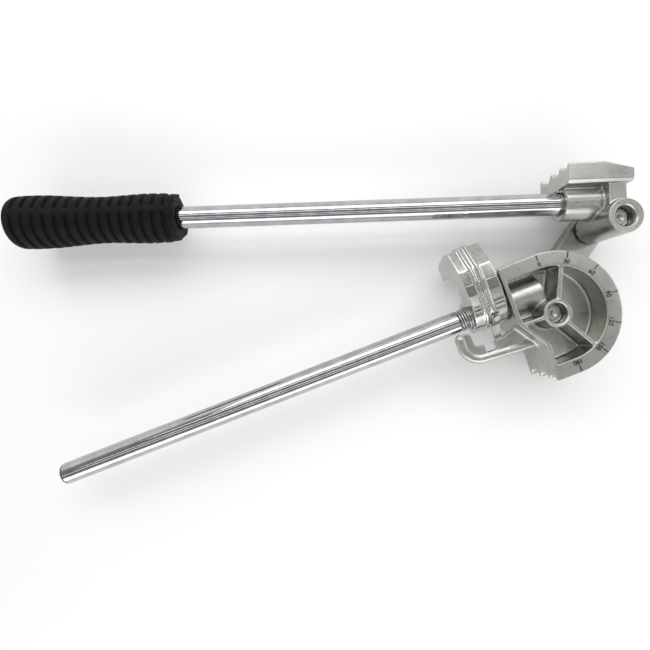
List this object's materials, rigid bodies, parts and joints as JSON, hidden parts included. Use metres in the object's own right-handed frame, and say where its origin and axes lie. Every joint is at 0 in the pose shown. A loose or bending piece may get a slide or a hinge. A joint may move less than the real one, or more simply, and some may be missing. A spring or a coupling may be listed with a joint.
{
  "type": "manual tube bender",
  "caption": "Lever tube bender with a triple-groove cast wheel, hook latch, swinging link, grooved shoe and two chrome tube handles, one with a ribbed rubber grip.",
  "frame": {"origin": "wheel axis at the back face of the link arm and wheel pin", "axes": "+X along the moving handle towards the shoe, +Y from the wheel towards the shoe, +Z along the wheel axis from the link to the graduated face"},
  "size_m": [0.4538, 0.2298, 0.0552],
  "materials": {
    "cast_aluminium": "as-cast, satin",
    "chrome_tube": "polished chrome plate",
    "zinc_steel": "zinc plated",
    "ground_steel": "ground",
    "spring_steel": "oiled spring wire",
    "bronze": "dull bronze",
    "black_steel": "blackened",
    "black_rubber": "matt ribbed"
  },
  "bodies": {
    "head": {"forming_wheel": "cast_aluminium", "wheel_bushing": "bronze", "fixed_handle_tube": "chrome_tube", "fixed_handle_plug": "chrome_tube", "handle_stud": "zinc_steel", "stud_spring_pin": "zinc_steel", "latch_spring": "spring_steel", "spring_washer": "zinc_steel", "latch_washer": "zinc_steel"},
    "link": {"link_arm": "cast_aluminium", "wheel_pin": "ground_steel", "wheel_pin_washer": "zinc_steel", "wheel_circlip": "zinc_steel", "wheel_thrust_washer": "zinc_steel", "shoe_pin": "ground_steel", "shoe_pin_washer": "zinc_steel", "shoe_circlip": "zinc_steel", "shoe_thrust_washer": "zinc_steel"},
    "shoe": {"bending_shoe": "cast_aluminium", "shoe_bushing": "bronze", "moving_handle_tube": "chrome_tube", "moving_handle_plug": "zinc_steel", "handle_grip": "black_rubber", "handle_grub_screw": "black_steel"},
    "latch": {"tube_latch": "cast_aluminium", "index_pointer": "bronze", "pointer_rivet": "zinc_steel"}
  },
  "joints": [
    {"name": "link_swing", "type": "hinge", "parent": "head", "child": "link", "pos_m": [0, 0, 0.033], "axis": [0, 0, 1], "range_deg": [-124, 14]},
    {"name": "shoe_swing", "type": "hinge", "parent": "link", "child": "shoe", "pos_m": [0.04588, 0.06651, 0.033], "axis": [0, 0, 1], "range_deg": [-216, 3]},
    {"name": "latch_swing", "type": "hinge", "parent": "head", "child": "latch", "pos_m": [-0.00628, 0.01612, 0.033], "axis": [0.9317, 0.3633, 0], "range_deg": [0, 75]}
  ]
}
